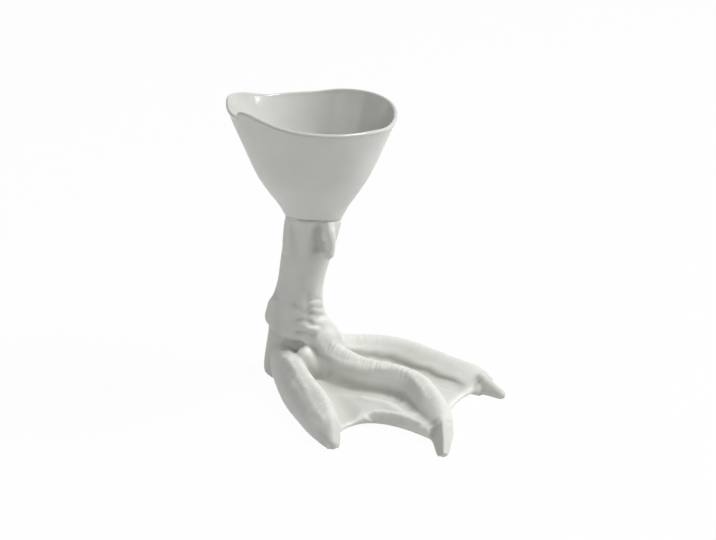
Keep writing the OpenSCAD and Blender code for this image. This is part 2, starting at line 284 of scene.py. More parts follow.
def fired_glaze(name):
    material, t, shader = new_material(name)
    place = t.add("ShaderNodeTexCoord").outputs["Object"]
    cloud = t.smooth(noise(t, place, 45.0, 2.0), 0.35, 0.65)
    colour = blend_colours(t, cloud, *GLAZE)
    wave = noise(t, place, 130.0, 1.0)
    pits = noise(t, place, 1500.0, 1.0)
    height = t.times_plus(pits, 0.003, t.times(wave, 0.06))
    rough = t.smooth(noise(t, place, 90.0, 2.0), 0.3, 0.7, 0.09, 0.15)
    finish_surface(t, shader, colour, height, rough)
    set_shader(shader, IOR=1.52, Subsurface_Weight=0.1, Subsurface_Scale=0.001,
               Subsurface_Radius=SCATTER)
    return material


def wiped_slip(name):
    material, t, shader = new_material(name)
    place = t.add("ShaderNodeTexCoord").outputs["Object"]
    smear = t.smooth(noise(t, place, 500.0, 4.0, 0.65), 0.3, 0.7)
    dark = blend_colours(t, smear, *WIPED_SLIP)
    colour = blend_colours(t, t.smooth(t.painted("wiped"), 0.1, 0.9), LUTED_SLIP, dark)
    finish_surface(t, shader, colour, t.times(smear, 0.15))
    set_shader(shader, Roughness=0.8)
    return material


smooth_biscuit = biscuit_clay("smooth biscuit", 0.42, False)
modelled_biscuit = biscuit_clay("modelled biscuit", 0.5, True)
glaze = fired_glaze("fired glaze")
slip = wiped_slip("wiped slip")


# Shape rules that the solids follow too

def lerp(a, b, t):
    return a + (b - a) * t


def ease(t):
    t = np.clip(t, 0.0, 1.0)
    return t * t * (3 - 2 * t)


def past(value, limit, soft):
    """None up to the limit, and one from a soft width beyond it."""
    return ease((value - limit) / soft)


def within(value, limit, soft):
    """One up to a soft width before the limit, and none from the limit on."""
    return ease((limit - value) / soft)


def along(table, t):
    """Row of a table at t, on a smooth curve through its rows."""
    rows = np.array(table, float)
    i = 0
    while i < len(rows) - 2 and t >= rows[i + 1][0]:
        i += 1

    def slope(k):
        a, b = rows[max(k - 1, 0)], rows[min(k + 1, len(rows) - 1)]
        return (b - a) / (b[0] - a[0])

    a, b = rows[i], rows[i + 1]
    h = b[0] - a[0]
    s = (t - a[0]) / h
    return (lerp(a, b, s * s * (3 - 2 * s)) + slope(i) * h * s * (1 - s) ** 2
            - slope(i + 1) * h * s * s * (1 - s))


# Cup and glaze: rows of a straight section, flared and waved by one tree

JOINT_H = 66.0
JOINT_TILT = math.radians(14)
JOINT_TURN = math.radians(214)
NECK_R = 10.0
RIM_R = 28.5
CUP_H = 37.0
WALL = 2.0
LIP_T = 0.9
GLAZE_T = 0.3
GLAZE_LAP = 0.5
FLOOR_Z = JOINT_H + 5.0
BOWL_H = 8.0
HOLLOW_R = 5.0
SLIP_T = 0.4
CUP_SIDES = 288
SLIP_SIDES = 160
FOOT_EDGE = 0.35
FLARE = [[0, 0], [0.11, 0.106], [0.27, 0.316], [0.43, 0.508], [0.6, 0.668], [0.8, 0.835],
         [1, 1], [1.2, 1.13], [1.5, 1.3]]
RIM = [[-0.047, 0.28], [0, 0.32], [0.07, 0.25], [0.13, 0.08], [0.18, 0.07], [0.23, 0.14],
       [0.3, 0.58], [0.35, 0.78], [0.4, 0.62], [0.45, 0.6], [0.466, 0.7], [0.482, 0.98],
       [0.5, 1], [0.53, 0.88], [0.57, 0.62], [0.61, 0.46], [0.68, 0.29], [0.74, 0.19],
       [0.81, 0.01], [0.87, 0.06], [0.91, 0.2], [0.953, 0.28], [1, 0.32], [1.07, 0.25]]
RIM_STEPS = 48
FLARE_STEPS = 40
FLARE_REACH = 1.5
FLARE_MOST = 1.3


def curve_points(table, steps, reach=1.0, most=1.0):
    """Points of a node's curve, which runs from none to one in both ways."""
    return [(k / steps, float(along(table, reach * k / steps)[1]) / most) for k in range(steps + 1)]


def wavy_cup_tree():
    """Places a section's rows round the axis. Each row is measured from the foot or from the bowl
    towards the lip, and in from the outside of the wall."""
    group, t, given = geometry_tree("wavy cup", [
        ("Joint Height", "Float", JOINT_H), ("Joint Tilt", "Float", JOINT_TILT),
        ("Joint Turn", "Float", JOINT_TURN), ("Neck Radius", "Float", NECK_R),
        ("Rim Radius", "Float", RIM_R), ("Cup Height", "Float", CUP_H), ("Wave", "Float", 7.6),
        ("Lip Radius", "Float", LIP_T / 2), ("Bowl Level", "Float", FLOOR_Z + BOWL_H),
        ("Lean", "Float", 0.5), ("Lean Turn", "Float", math.radians(-44)), ("Hand Play", "Float", 0.12),
        ("Coat", "Float", 0.0), ("Seed", "Float", 3.0), ("Material", "Material", None)])
    angle = t.times(t.attribute("turn"), 2 * math.pi)
    cos, sin = t.cos(angle), t.sin(angle)
    narrow, up = t.attribute("narrow"), t.attribute("up")
    off = t.times(t.times(t.tan(given["Joint Tilt"]), given["Neck Radius"]),
                  t.cos(t.minus(angle, given["Joint Turn"])))
    foot = t.plus(given["Joint Height"], off)
    wave = t.curve(t.attribute("turn"), curve_points(RIM, RIM_STEPS))
    top = t.plus(given["Joint Height"], given["Cup Height"])
    lip = t.times_plus(wave, given["Wave"], t.minus(top, given["Lip Radius"]))
    low = t.times_plus(off, narrow, given["Joint Height"])
    low = t.times_plus(t.attribute("from_bowl"), t.minus(given["Bowl Level"], low), low)
    level = t.plus(t.times_plus(up, t.minus(lip, low), low), t.attribute("rise"))
    grown = t.over(t.minus(level, foot), given["Cup Height"])
    tilted = t.minus(1.0, t.smooth(grown, 0.0, 0.5))
    climbed = t.minus(t.minus(level, given["Joint Height"]), t.times(off, tilted))
    share = t.over(climbed, given["Cup Height"])
    flare = t.curve(t.over(share, FLARE_REACH), curve_points(FLARE, FLARE_STEPS, FLARE_REACH, FLARE_MOST))
    spread = t.minus(given["Rim Radius"], given["Neck Radius"])
    radius = t.times_plus(t.times(flare, FLARE_MOST), spread, given["Neck Radius"])
    way = t.vector(cos, sin, t.times(level, 0.06))
    play = t.play(way, given["Seed"], 0.9, 1.0)
    play = t.times(t.minus(play, 0.5), t.times(given["Hand Play"], 2.0))
    play = t.times(play, t.smooth(grown, 0.05, 0.4))
    radius = t.times(t.plus(t.minus(radius, t.attribute("inset")), play), narrow)
    lean = t.times(given["Lean"], t.smooth(grown, 0.0, 1.0))
    x = t.times_plus(radius, cos, t.times(lean, t.cos(given["Lean Turn"])))
    y = t.times_plus(radius, sin, t.times(lean, t.sin(given["Lean Turn"])))
    z = t.plus(level, t.attribute("crown"))
    placed = t.add("GeometryNodeSetPosition", {"Geometry": given["Geometry"],
                                               "Position": t.vector(x, y, z)}).outputs[0]
    coat = t.times(given["Coat"], t.attribute("coat"))
    raised = t.add("GeometryNodeExtrudeMesh", {"Mesh": placed, "Offset Scale": coat, "Individual": False})
    back = t.add("GeometryNodeFlipFaces", {"Mesh": placed}).outputs[0]
    shell = t.add("GeometryNodeJoinGeometry")
    t.tree.links.new(back, shell.inputs[0])
    t.tree.links.new(raised.outputs[0], shell.inputs[0])
    closed = t.add("GeometryNodeMergeByDistance", {"Geometry": shell.outputs[0],
                                                   "Distance": WELD}).outputs[0]
    coated = t.add("FunctionNodeCompare", {0: given["Coat"], 1: 0.0}, operation="GREATER_THAN").outputs[0]
    whole = t.add("GeometryNodeSwitch", {"Switch": coated, "False": placed, "True": closed},
                  input_type="GEOMETRY").outputs[0]
    close_tree(t, t.sized(whole))
    return group


SECTION_KEYS = ("up", "from_bowl", "inset", "narrow", "rise", "crown", "coat")
NO_WIDTH = 1e-6


def row(up=0.0, from_bowl=0.0, inset=0.0, narrow=1.0, rise=0.0, crown=0.0, coat=1.0):
    return dict(zip(SECTION_KEYS, (up, from_bowl, inset, narrow, rise, crown, coat)))


def lip_rows(steps):
    r = LIP_T / 2
    turns = [math.pi * k / steps for k in range(steps + 1)]
    return [row(up=1.0, inset=r * (1 - math.cos(a)), crown=r * math.sin(a)) for a in turns]


def inside_rows(wall_steps, bowl_steps):
    shares = [k / wall_steps for k in range(1, wall_steps)]
    wall = [row(up=1 - s, from_bowl=1.0, inset=lerp(LIP_T, WALL, s)) for s in shares]
    bowl = []
    for k in range(bowl_steps + 1):
        a = math.pi / 2 * (1 - k / bowl_steps)
        bowl.append(row(from_bowl=1.0, inset=WALL, narrow=math.sin(a), rise=-BOWL_H * math.cos(a)))
    return wall + bowl


def turned_section(name, rows):
    """Grid of rows by turns. A row of no width is a single pole."""
    vertices, faces, starts = [], [], []
    values = {key: [] for key in ("turn",) + SECTION_KEYS}
    for i, line in enumerate(rows):
        starts.append(len(vertices))
        count = 1 if line["narrow"] < NO_WIDTH else CUP_SIDES
        for j in range(count):
            a = 2 * math.pi * j / CUP_SIDES
            vertices.append((math.cos(a), math.sin(a), float(i)))
            values["turn"].append(j / CUP_SIDES)
            for key in SECTION_KEYS:
                values[key].append(line[key])
    for i in range(len(rows) - 1):
        a, b = starts[i], starts[i + 1]
        wide_a, wide_b = rows[i]["narrow"] >= NO_WIDTH, rows[i + 1]["narrow"] >= NO_WIDTH
        for j in range(CUP_SIDES):
            k = (j + 1) % CUP_SIDES
            if wide_a and wide_b:
                faces.append((a + j, a + k, b + k, b + j))
            elif wide_a:
                faces.append((a + j, a + k, b))
            elif wide_b:
                faces.append((a, b + k, b + j))
    return new_piece(name, vertices, faces, values)


def make_cup():
    under = [row(narrow=0.0)] + [row(narrow=s) for s in (0.3, 0.6, 0.8, 0.9)]
    edge = [row(inset=FOOT_EDGE * (1 - math.sin(a)), crown=FOOT_EDGE * (1 - math.cos(a)))
            for a in (0.0, 0.5, 1.0, math.pi / 2)]
    wall = [row(up=0.012 + 0.988 * k / 40) for k in range(1, 40)]
    return turned_section("porcelain_cup", under + edge + wall + lip_rows(10) + inside_rows(20, 10))


def make_glaze():
    lap = GLAZE_LAP / CUP_H
    thickening = ((0.0, 0.15), (0.15, 0.6), (0.35, 0.9), (0.7, 1.0))
    hem = [row(up=1 - lap * (1 - share), coat=coat) for share, coat in thickening]
    return turned_section("glaze_coat", hem + lip_rows(14) + inside_rows(48, 20))


cup_tree = wavy_cup_tree()
cup_piece = make_cup()
run_tree(cup_piece, cup_tree, {"Material": smooth_biscuit})
hand_over(cup_piece, "cup")
glaze_piece = make_glaze()
run_tree(glaze_piece, cup_tree, {"Coat": GLAZE_T, "Material": glaze})
hand_over(glaze_piece, "glaze_lining")


# Slip between the cup and the leg

def slip_tree():
    """Lays rings of slip in the joint's tilted plane. The slip is flush where it was luted with the
    clay on both sides of it, and wiped back where it shows."""
    group, t, given = geometry_tree("slip film", [
        ("Joint Height", "Float", JOINT_H), ("Joint Tilt", "Float", JOINT_TILT),
        ("Joint Turn", "Float", JOINT_TURN), ("Outer Radius", "Float", NECK_R + 0.02),
        ("Hollow Radius", "Float", HOLLOW_R), ("Thickness", "Float", SLIP_T),
        ("Wiped Back", "Float", 0.08), ("Luted Height", "Float", 0.55),
        ("Luted Turn", "Float", math.radians(158)), ("Luted Spread", "Float", math.radians(36)),
        ("Hand Play", "Float", 0.25), ("Seed", "Float", 2.0), ("Material", "Material", None)])
    place = t.add("GeometryNodeInputPosition").outputs[0]
    xyz = t.add("ShaderNodeSeparateXYZ", {0: place}).outputs
    angle = t.math("ARCTAN2", xyz[1], xyz[0])
    apart = t.minus(angle, given["Luted Turn"])
    apart = t.math("ARCCOSINE", t.times(t.cos(apart), 0.9999))
    play = t.play(t.vector(xyz[0], xyz[1], 0.0), given["Seed"], 3.0, 2.0)
    play = t.times_plus(t.minus(play, 0.5), given["Hand Play"], 1.0)
    edge = t.over(apart, given["Luted Spread"])
    wiped = t.times(t.smooth(edge, 0.75, 1.25), play)
    outer = t.minus(given["Outer Radius"], t.times(wiped, given["Wiped Back"]))
    rim = t.attribute("rim")
    inner = given["Hollow Radius"]
    radius = t.times_plus(rim, t.minus(outer, inner), inner)
    x = t.times(radius, t.cos(angle))
    y = t.times(radius, t.sin(angle))
    towards = t.times(radius, t.cos(t.minus(angle, given["Joint Turn"])))
    z = t.times_plus(towards, t.tan(given["Joint Tilt"]), given["Joint Height"])
    z = t.plus(z, t.times(t.attribute("level"), given["Thickness"]))
    luted = t.times(t.minus(1.0, t.smooth(edge, 0.6, 1.1)), given["Luted Height"])
    z = t.plus(z, t.times(t.attribute("fill"), luted))
    laid = t.add("GeometryNodeSetPosition", {"Geometry": given["Geometry"],
                                             "Position": t.vector(x, y, z)}).outputs[0]
    kept = t.add("GeometryNodeStoreNamedAttribute", {"Geometry": laid, "Name": "wiped", "Value": wiped},
                 data_type="FLOAT", domain="POINT").outputs[0]
    close_tree(t, t.sized(kept))
    return group


def make_slip():
    """Corners of a ring: share of its width, level in its thickness, share of the luted height."""
    corners = [(0.0, -1.0, 0), (0.9, -1.0, 0), (0.94, -1.0, -1), (0.985, -0.9, -1), (1.0, -0.5, 0),
               (0.985, -0.1, 1), (0.94, 0.0, 1), (0.9, 0.0, 0), (0.0, 0.0, 0)]
    n = len(corners)
    vertices, faces = [], []
    rim, level, fill = zip(*corners)
    for j in range(SLIP_SIDES):
        a = 2 * math.pi * j / SLIP_SIDES
        vertices += [(math.cos(a), math.sin(a), height) for height in level]
    for j in range(SLIP_SIDES):
        k = (j + 1) % SLIP_SIDES
        faces += [(j * n + i, k * n + i, k * n + (i + 1) % n, j * n + (i + 1) % n) for i in range(n)]
    return new_piece("slip_film", vertices, faces,
                     {"rim": rim * SLIP_SIDES, "level": level * SLIP_SIDES, "fill": fill * SLIP_SIDES})


slip_piece = make_slip()
run_tree(slip_piece, slip_tree(), {"Material": slip})
hand_over(slip_piece, "slip_joint")


# Foot: the solid in fine voxels, its corners filled as in wet clay, then modelled

VOXEL = 0.48
# Heights: what is lower stays on the table; webs are lower; the bone ends are higher
SOLE_Z = 0.2
WEB_Z = 9.0
KNUCKLE_Z = 46.0
# How far a hand-drawn line strays, rounds that smooth the relief away to measure its depth for painted light
# and shade, and the bend of a crease that gets full painted shade
HAND_PLAY = 0.4
RELIEF_SMOOTHING_ROUNDS = 90
CREASE_BEND = 0.05
# A cut leaves this height, and takes no more than this depth
CUT_FLOOR = 0.8
CUT_MOST = 3.0
# Toes: steps along a crest, where a claw starts, how oval a section is, and each toe's scutes
CREST_STEPS = 240
CLAW_SHARE = 0.83
OVAL = 1.1
SKINS_APART = 20.0
SCUTE_DEPTHS = (1.0, 1.0, 0.45)
# The gaps to a crest are worked out in parts, to spare memory
MEMORY_PARTS = 12
LEG_LEAN = 15.5
LEG_SKEW = 0.09
LEG_R = 8.2
ANKLE_BACK = 8.0
TOE_H = 14.0
TOE_R = 5.6
TOE_WAIST = 0.45
# A toe: rows of its crest (share of its length, way aside, height, width and lean), length and turn
INNER_TOE = ([
    [0, -0.115, 1.09, 0.78, -0.3], [0.12, -0.108, 1.12, 0.9, 0], [0.24, -0.1, 1.03, 1, 0.3],
    [0.42, -0.084, 0.94, 1.08, 0.42], [0.6, -0.054, 0.88, 1.09, 0.45], [0.76, -0.03, 0.79, 1, 0.4],
    [0.87, -0.01, 0.6, 0.78, 0.25], [0.94, 0, 0.4, 0.5, 0.1], [1, 0, 0.1, 0.2, 0]], 59.0, -31)
MIDDLE_TOE = ([
    [0, 0, 1.4, 1.15, 0.1], [0.1, 0.036, 1.44, 1.2, 0.1], [0.22, 0.075, 1.21, 1.1, 0.1],
    [0.32, 0.117, 1.04, 1.02, 0.15], [0.44, 0.189, 1, 1, 0.2], [0.55, 0.224, 0.94, 1, 0.2],
    [0.66, 0.199, 0.86, 1, 0.2], [0.78, 0.155, 0.74, 0.94, 0.2], [0.85, 0.118, 0.56, 0.76, 0.15],
    [0.9, 0.08, 0.34, 0.5, 0.1], [1, 0, 0.1, 0.2, 0]], 80.5, -5.5)
OUTER_TOE = ([
    [0, 0.05, 1, 0.9, 0.1], [0.14, 0.143, 0.97, 0.88, 0.2], [0.235, 0.196, 0.88, 0.9, 0.35],
    [0.33, 0.23, 0.83, 0.94, 0.42], [0.45, 0.234, 0.77, 0.98, 0.42], [0.58, 0.19, 0.685, 1.02, 0.44],
    [0.72, 0.132, 0.59, 1.08, 0.48], [0.82, 0.096, 0.51, 1.12, 0.52], [0.89, 0.064, 0.37, 0.88, 0.48],
    [1, 0, 0.1, 0.2, 0]], 76.5, 32)
TOES = (INNER_TOE, MIDDLE_TOE, OUTER_TOE)

# Forms at the ankle that stay crisp: the ball between the toes' roots and the hollow over it
BALL = (-5.1, -0.4, 13.7)
BALL_R = 3.6
DENT = [(-9.6, 7.5, 18.5), (-7.5, 3.6, 18.2), (-4.7, 1.4, 17.5)]
DENT_FILL = (2.6, -1.2)

# Lines drawn on the clay: width, depth pressed in (less than nothing for a ridge), places.
# On the leg a place is a height and a turn in degrees.
LEG_LINES = [
    (2.2, 0.6, [(63.5, 243), (60, 246), (57, 249)]),
    (1.2, 0.5, [(59, 248), (56.5, 250)]),
    (2.0, -0.3, [(62, 266), (58, 267)]),
    (2.2, 0.3, [(66, 177), (60, 179), (54, 182)]),
    (2.0, -0.3, [(66, 160), (58, 164)]),
    (2.5, 0.25, [(44, 218), (39, 228)]),
    (1.3, 0.45, [(37, 243), (33, 242), (29, 246)]),
    (0.6, 0.3, [(35, 249), (34.5, 264), (33, 288)]),
    (0.6, 0.3, [(32, 250), (31, 267), (30, 290)]),
    (0.7, 0.35, [(29.5, 249), (28, 267), (28, 286)]),
    (0.9, -0.25, [(33.3, 252), (32, 288)]),
    (0.9, -0.3, [(30.7, 253), (29.3, 286)]),
    (1.4, 0.4, [(33, 211), (32, 222), (30.5, 236)]),
    (1.1, 0.35, [(27.5, 226), (27, 240), (26, 252)]),
    (1.5, 0.45, [(26, 250), (25, 264), (22.5, 280)]),
    (1.2, 0.5, [(21.2, 258), (21.8, 266), (21.5, 282)]),
    (1.7, -0.45, [(24, 224), (24.5, 238), (24, 252)]),
    (0.9, 0.25, [(22.5, 226), (22.8, 238), (21.5, 247)]),
    (1.5, 0.5, [(16.5, 208), (16.8, 222), (16.8, 240)]),
    (1.5, 0.25, [(19, 155), (19, 178), (18, 198)]),
]
# On a toe a place is a share of its length and an angle round its section from its outer side.
INNER_LINES = [
    (1.1, -0.4, [(0.15, 118), (0.23, 112), (0.37, 112), (0.55, 121), (0.72, 129), (0.84, 126)]),
    (2.6, 0.3, [(0.3, 153), (0.5, 160), (0.68, 166)]),
    (1.6, -0.25, [(0.4, 140), (0.58, 143), (0.72, 147)]),
]
MIDDLE_LINES = [
    (1.2, -0.4, [(0.13, 129), (0.21, 138), (0.3, 131), (0.36, 120), (0.43, 107), (0.5, 106), (0.59, 121),
                 (0.7, 124)]),
    (2.8, 0.3, [(0.2, 158), (0.36, 155), (0.52, 155), (0.66, 160)]),
    (1.5, 0.35, [(0.2, 176), (0.3, 183), (0.42, 188), (0.56, 188)]),
    (1.6, 0.3, [(0.45, 188), (0.56, 188), (0.7, 181)]),
    (1.4, 0.25, [(0.5, 188), (0.6, 187), (0.67, 183)]),
    (0.6, 0.35, [(0.84, 180), (0.862, 90), (0.84, 10)]),
]
OUTER_LINES = [
    (1.4, -0.3, [(0.15, 149), (0.3, 151), (0.5, 159), (0.78, 158)]),
    (1.1, 0.35, [(0.12, 160), (0.24, 168), (0.36, 180), (0.5, 184), (0.62, 176), (0.82, 180)]),
    (0.5, 0.3, [(0.875, 180), (0.885, 90), (0.875, 10)]),
]
# On the webs a place is in the frame's own x and y.
WEB_FILL = [(4.2, -2.2, [(-4, -4), (-1, -9)])]
WEB_LINES = [
    (1.8, -0.6, [(-1, -26), (1, -35), (1, -42), (0, -49)]),
    (0.8, -0.5, [(-6, -36), (-3, -41), (-2, -46), (-2, -50), (-1, -55)]),
]
# Crests from which the clay is cut back to a flat face: the face's slope, the share of painted shade that the
# cut face gets, and the crest's places, with the face on the right of a walk along them. First comes the fold
# along the first web's edge, then the two sides of the middle claw's keel.
CUTS = [
    (0.95, 0.85, [(-10.5, -36.6, 3.8), (-8.2, -35.9, 4.4), (-6.2, -36.6, 4.8), (-4.4, -39, 5),
                  (-2.9, -43, 5), (-2, -47, 5), (-1.8, -52, 5), (-1.8, -58, 5)]),
    (1.35, 0.3, [(0.8, -63.4, 7.7), (-3.2, -67.7, 5.6), (-7.3, -71.7, 2.8)]),
    (0.7, 0.1, [(-7.3, -71.7, 2.8), (-3.2, -67.7, 5.6), (0.8, -63.4, 7.7)]),
]


def voxel_copy(node, size):
    """The solid as an even mesh of small faces: its places in millimetres, and its faces."""
    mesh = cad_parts[node].data.copy()
    mesh.transform(((1 / MM, 0, 0, 0), (0, 1 / MM, 0, 0), (0, 0, 1 / MM, 0), (0, 0, 0, 1)))
    piece = bpy.data.objects.new("voxels", mesh)
    bpy.context.scene.collection.objects.link(piece)
    weld = piece.modifiers.new("weld", "WELD")
    weld.merge_threshold = WELD
    voxels = piece.modifiers.new("voxels", "REMESH")
    voxels.mode = "VOXEL"
    voxels.voxel_size = size
    bake(piece)
    count = len(piece.data.vertices)
    places = np.empty(count * 3)
    piece.data.vertices.foreach_get("co", places)
    faces = np.array([tuple(f.vertices) for f in piece.data.polygons])
    bpy.data.objects.remove(piece)
    return places.reshape(-1, 3), faces


class Clay:
    """Places and faces of an even mesh, and the ways of working it."""

    def __init__(self, places, faces):
        self.places, self.faces = places, faces
        pairs = np.concatenate([faces[:, [k, (k + 1) % 4]] for k in range(4)])
        pairs = np.unique(np.sort(pairs, axis=1), axis=0)
        self.a = np.concatenate([pairs[:, 0], pairs[:, 1]])
        self.b = np.concatenate([pairs[:, 1], pairs[:, 0]])
        self.links = np.bincount(self.a, minlength=len(places))
        self.sole = places[:, 2] < SOLE_Z
        x, y, z = places.T
        self.play = (np.sin(0.6 * x + 1.3 * np.sin(0.4 * z))
                     * np.sin(0.5 * y + 0.7 * z + 1.1 * np.sin(0.35 * x)))

    def gather(self, numbers):
        """Mean of the neighbours' numbers."""
        if numbers.ndim == 1:
            return np.bincount(self.a, numbers[self.b], len(numbers)) / self.links
        return np.stack([self.gather(column) for column in numbers.T], axis=1)

    def normals(self):
        p, f = self.places, self.faces
        cross = np.repeat(np.cross(p[f[:, 2]] - p[f[:, 0]], p[f[:, 3]] - p[f[:, 1]]), 4, axis=0)
        total = np.stack([np.bincount(f.ravel(), cross[:, k], len(p)) for k in range(3)], axis=1)
        return total / np.maximum(np.linalg.norm(total, axis=1, keepdims=True), 1e-12)

    def far_from(self, place):
        return np.linalg.norm(self.places - place, axis=1)

    def on_webs(self):
        """Where the clay is low and faces up."""
        return past(self.normals()[:, 2], 0.1, 0.3) * within(self.places[:, 2], WEB_Z, 2)

    def smooth(self, rounds, strength, round_off):
        """Fills hollows, and rounds off what stands out by its share round_off."""
        for k in range(rounds):
            if k % 6 == 0:
                normals = self.normals()
            pull = self.gather(self.places) - self.places
            out = (pull * normals).sum(axis=1)
            scale = strength * np.where(out > 0, 1.0, round_off)
            moved = 0.5 * strength[:, None] * (pull - out[:, None] * normals)
            moved += (scale * out)[:, None] * normals
            moved[self.sole, 2] = 0
            self.places = self.places + moved

    def relief(self):
        """Painted shade and painted light at each place, each from none to one. The shade falls in creases,
        on deep flanks that don't face up and on cut faces; the light falls where the clay stands out and faces
        up."""
        normals = self.normals()
        bend = ((self.gather(self.places) - self.places) * normals).sum(axis=1)
        for _ in range(4):
            bend = 0.5 * bend + 0.5 * self.gather(bend)
        worn = self.places
        for _ in range(RELIEF_SMOOTHING_ROUNDS):
            worn = 0.5 * worn + 0.5 * self.gather(worn)
        depth = ((worn - self.places) * normals).sum(axis=1)
        # Flanks that don't face up, creases and cut faces get painted shade.
        flank = 1 - past(normals[:, 2], 0.62, 0.26)
        hollow = np.clip(bend / CREASE_BEND, 0, 1) + past(depth, -0.4, 1.0) * flank + self.cut
        return np.clip(hollow, 0, 1), within(depth, 0, 0.6) * past(normals[:, 2], 0.1, 0.6)

    def press(self, net, line, width, depth, where):
        """Presses a soft tool along a line in a net of places, or raises a ridge there."""
        net = net + HAND_PLAY * self.play[:, None]
        nearest = np.full(len(net), 1e9)
        for start, end in zip(line[:-1] or line, line[1:] or line):
            step = np.subtract(end, start)
            share = np.clip((net - start) @ step / max(step @ step, 1e-9), 0, 1)
            nearest = np.minimum(nearest, np.linalg.norm(net - start - share[:, None] * step, axis=1))
        weight = np.exp(-(nearest / width) ** 2) * where
        self.places = self.places - (depth * weight)[:, None] * self.normals()

    def draw(self, lines, net, scale, where):
        """Presses each line of a list. The scale turns the list's numbers into the net's."""
        for width, depth, line in lines:
            self.press(net, [np.multiply(place, scale) for place in line], width, depth, where)

    def cut_back(self, line, slope):
        """Cuts the clay back to a face that falls away from a crest, and tells where it was cut."""
        x, y, z = self.places.T
        nearest = np.full(len(z), 1e9)
        away, level, beyond = np.zeros((3, len(z)))
        for start, end in zip(line[:-1], line[1:]):
            step = end - start
            length = np.hypot(step[0], step[1])
            ahead = ((x - start[0]) * step[0] + (y - start[1]) * step[1]) / length
            aside = ((x - start[0]) * step[1] - (y - start[1]) * step[0]) / length
            past = ahead - np.clip(ahead, 0, length)
            gap = np.hypot(past, aside)
            near = gap < nearest
            nearest[near], away[near], beyond[near] = gap[near], aside[near], np.abs(past[near])
            level[near] = (start[2] + step[2] * np.clip(ahead / length, 0, 1))[near]
        sure = within(beyond, 2, 2) * within(nearest, 5, 1) * (away > -0.1)
        face = np.maximum(level - slope * away, CUT_FLOOR)
        over = np.clip(z - face, 0, CUT_MOST) * sure
        self.places = self.places - over[:, None] * (0, 0, 1)
        return np.clip(over / 0.3, 0, 1)


def toe_frame(clay, toe):
    """For each place: its share of the toe's length, way along and across the crest, angle round
    the section, height, how surely it is on that toe, and how surely on its claw."""
    table, length, turn = toe
    a = math.radians(turn)
    ahead, aside = np.array([math.sin(a), -math.cos(a)]), np.array([math.cos(a), math.sin(a)])
    shares = np.linspace(0, 1, CREST_STEPS)
    rows = np.array([along(table, t) for t in shares])
    crest = np.array([0, ANKLE_BACK]) + length * (shares[:, None] * ahead + rows[:, 1:2] * aside)
    step = np.gradient(crest, axis=0)
    travelled = np.concatenate([[0], np.cumsum(np.linalg.norm(np.diff(crest, axis=0), axis=1))])
    step /= np.linalg.norm(step, axis=1, keepdims=True)
    near = np.empty(len(clay.places), int)
    for part in np.array_split(np.arange(len(near)), MEMORY_PARTS):
        gaps = clay.places[part, None, :2] - crest[None]
        near[part] = (gaps ** 2).sum(axis=2).argmin(axis=1)
    gap = clay.places[:, :2] - crest[near]
    across = (-gap[:, 0] * step[near, 1] + gap[:, 1] * step[near, 0]) / (TOE_R * rows[near, 3])
    height = clay.places[:, 2] / (TOE_H * rows[near, 2])
    risen = (height - TOE_WAIST) / (1 - TOE_WAIST)
    across = across - rows[near, 4] * np.clip(risen, 0, 1)
    angle = np.degrees(np.arctan2(risen, across)) % 360
    angle = np.where(angle > 270, angle - 360, angle)
    sure = within(np.abs(across), 1.9, 0.3) * within(height, 1.3, 0.15) * past(clay.far_from(BALL), BALL_R, 1.4)
    claw = past(shares[near], CLAW_SHARE, 0.06) * within(np.linalg.norm(gap, axis=1), 5, 1.5)
    return {"share": shares[near], "along": travelled[near], "angle": angle, "across": across,
            "height": height, "sure": sure, "claw": claw}


def draw_on_foot(clay):
    x, y, z = clay.places.T
    share = z / JOINT_H
    from_axis = x - LEG_LEAN * LEG_SKEW * (1 - share), y - LEG_LEAN * (1 - share)
    turn = np.degrees(np.arctan2(from_axis[1], from_axis[0])) % 360
    girth = math.radians(OVAL * LEG_R)
    far = np.hypot(*from_axis)
    on_leg = within(far, 15, 2) * past(far, 6, 1) * past(z, 10, 3)
    clay.draw(LEG_LINES, np.stack([z, girth * turn], axis=1), (1, girth), on_leg)
    for toe, lines in zip(TOES, (INNER_LINES, MIDDLE_LINES, OUTER_LINES)):
        f = toe_frame(clay, toe)
        girth = math.radians(OVAL * TOE_R)
        net = np.stack([toe[1] * f["share"], girth * f["angle"]], axis=1)
        clay.draw(lines, net, (toe[1], girth), f["sure"])
    clay.draw(WEB_LINES, clay.places[:, :2], (1, 1), clay.on_webs())
    # Each cut face gets painted shade, by its share.
    cuts = [dark * clay.cut_back(np.array(line), slope) for slope, dark, line in CUTS]
    clay.cut = np.max(cuts, axis=0)


def model_foot():
    clay = Clay(*voxel_copy("webbed_foot", VOXEL))
    x, y, z = clay.places.T
    ankle = within(np.hypot(x + 1, y - 2), 26, 12) * within(z, 40, 12)
    for place in [BALL] + DENT:
        ankle *= past(clay.far_from(place), 2.5, 3)
    joint = JOINT_H + math.tan(JOINT_TILT) * (x * math.cos(JOINT_TURN) + y * math.sin(JOINT_TURN))
    knuckles = past(z, KNUCKLE_Z, 6) * within(z, joint - 1, 2)
    heel = within(x, -2, 3) * within(z, 14, 4) * past(y, -3, 4) * within(y, 20, 4)
    claws = np.max([toe_frame(clay, toe)["claw"] for toe in TOES], axis=0)
    base = 0.55 * (1 - 0.75 * claws) * (1 - 0.85 * past(z, joint - 2, 1))
    clay.draw(WEB_FILL, clay.places[:, :2], (1, 1), clay.on_webs())
    clay.smooth(12, base, 0.35)
    clay.smooth(80, 0.9 * heel, 0.1)
    clay.smooth(50, 0.6 * np.clip(ankle + 0.8 * knuckles, 0, 1), 0.12)
    clay.press(clay.places, DENT[1:], *DENT_FILL, 1.0)
    clay.smooth(8, base, 0.5)
    draw_on_foot(clay)
    clay.smooth(2, base, 1.0)
    return clay


